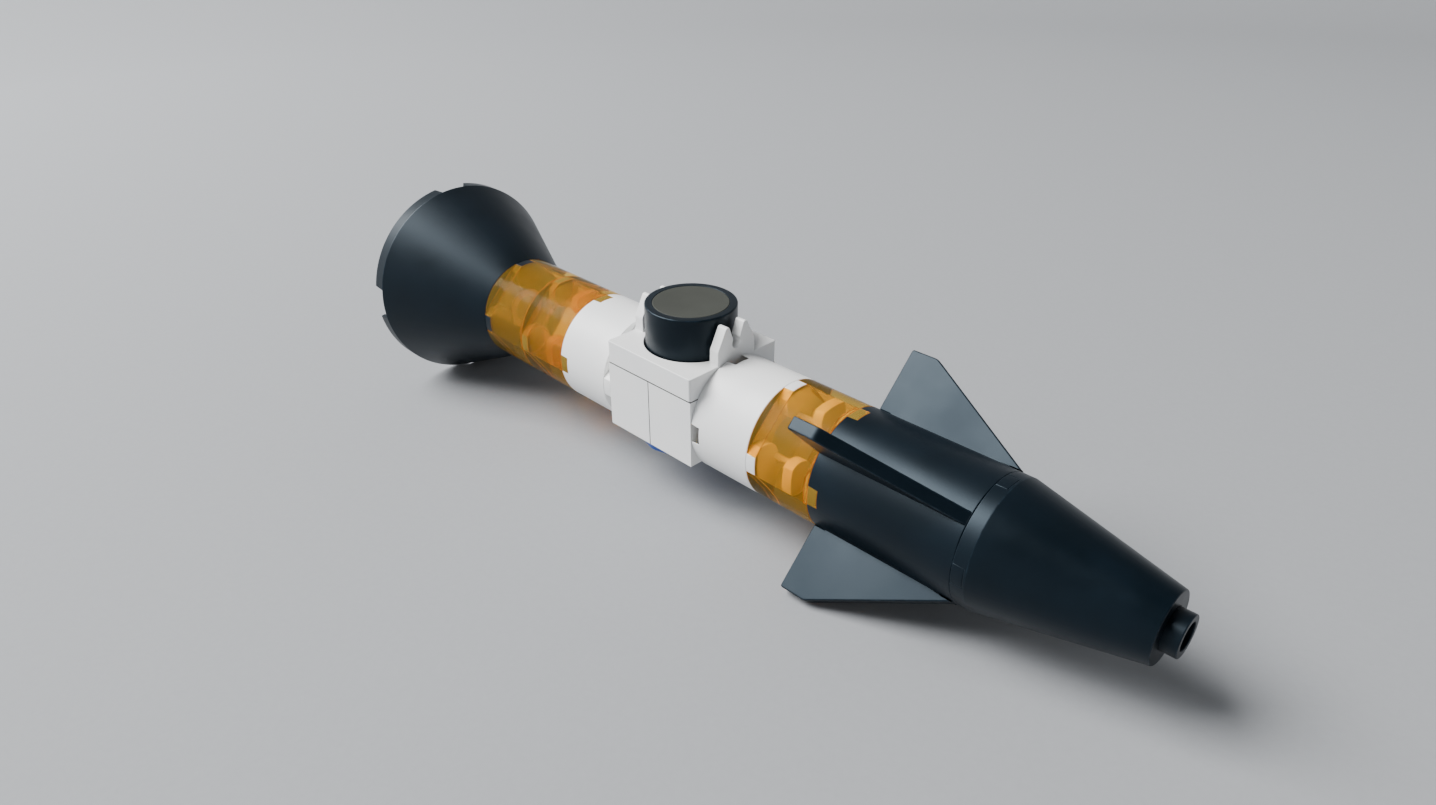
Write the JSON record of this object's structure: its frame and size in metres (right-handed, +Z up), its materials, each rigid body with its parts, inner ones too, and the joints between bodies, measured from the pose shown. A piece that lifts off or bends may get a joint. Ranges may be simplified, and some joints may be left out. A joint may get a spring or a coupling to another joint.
{
  "type": "model rocket",
  "caption": "Modular model rocket: flared tail skirt, clear amber and white bays, square payload box with a canister, finned section and cut-off nose with a tube.",
  "frame": {"origin": "on the body axis, half way between the tail flare's rim and the mouth of the nose tube", "axes": "+X along the body towards the nose, +Z up through the payload box's lid and canister, +Y to the left of the body"},
  "size_m": [0.4746, 0.12, 0.12],
  "materials": {
    "black_plastic": "satin moulded black plastic with a blue cast",
    "white_plastic": "satin white plastic",
    "amber_plastic": "clear amber plastic",
    "grey_disc": "matt warm grey",
    "blue_plastic": "satin blue plastic",
    "kraft_card": "wound kraft paper tube",
    "steel": "plain steel"
  },
  "bodies": {
    "airframe": {"flare_skirt": "black_plastic", "motor_tube": "kraft_card", "motor_stop": "kraft_card", "flare_pins": "black_plastic", "bay_amber_rear": "amber_plastic", "pins_amber_rear": "amber_plastic", "bay_amber_mid": "amber_plastic", "pins_amber_mid": "amber_plastic", "bay_white_rear": "white_plastic", "pins_white_rear": "white_plastic", "box_rear_half": "white_plastic", "box_front_half": "white_plastic", "box_lid": "white_plastic", "box_dowels": "steel", "lid_screws": "steel", "bay_screws": "steel", "bay_white_front": "white_plastic", "pins_white_front": "white_plastic", "bay_amber_front": "amber_plastic", "pins_amber_front": "amber_plastic", "fin_can": "black_plastic", "fin_upper_left": "black_plastic", "fin_upper_right": "black_plastic", "fin_lower_left": "black_plastic", "fin_lower_right": "black_plastic", "nose_pins": "black_plastic"},
    "canister": {"payload_canister": "black_plastic", "canister_disc": "grey_disc"},
    "cap": {"base_cap": "blue_plastic"},
    "nose": {"nose_cone": "black_plastic", "nose_tube": "black_plastic"}
  },
  "joints": [
    {"name": "nose_pull", "type": "slide", "parent": "airframe", "child": "nose", "axis": [1, 0, 0], "range_m": [0, 0.03]},
    {"name": "canister_lift", "type": "slide", "parent": "airframe", "child": "canister", "axis": [0, 0, 1], "range_m": [0, 0.042]},
    {"name": "cap_turn", "type": "hinge", "parent": "airframe", "child": "cap", "pos_m": [-0.01875, 0, -0.021], "axis": [0, 0, 1], "range_deg": [0, 90]}
  ]
}
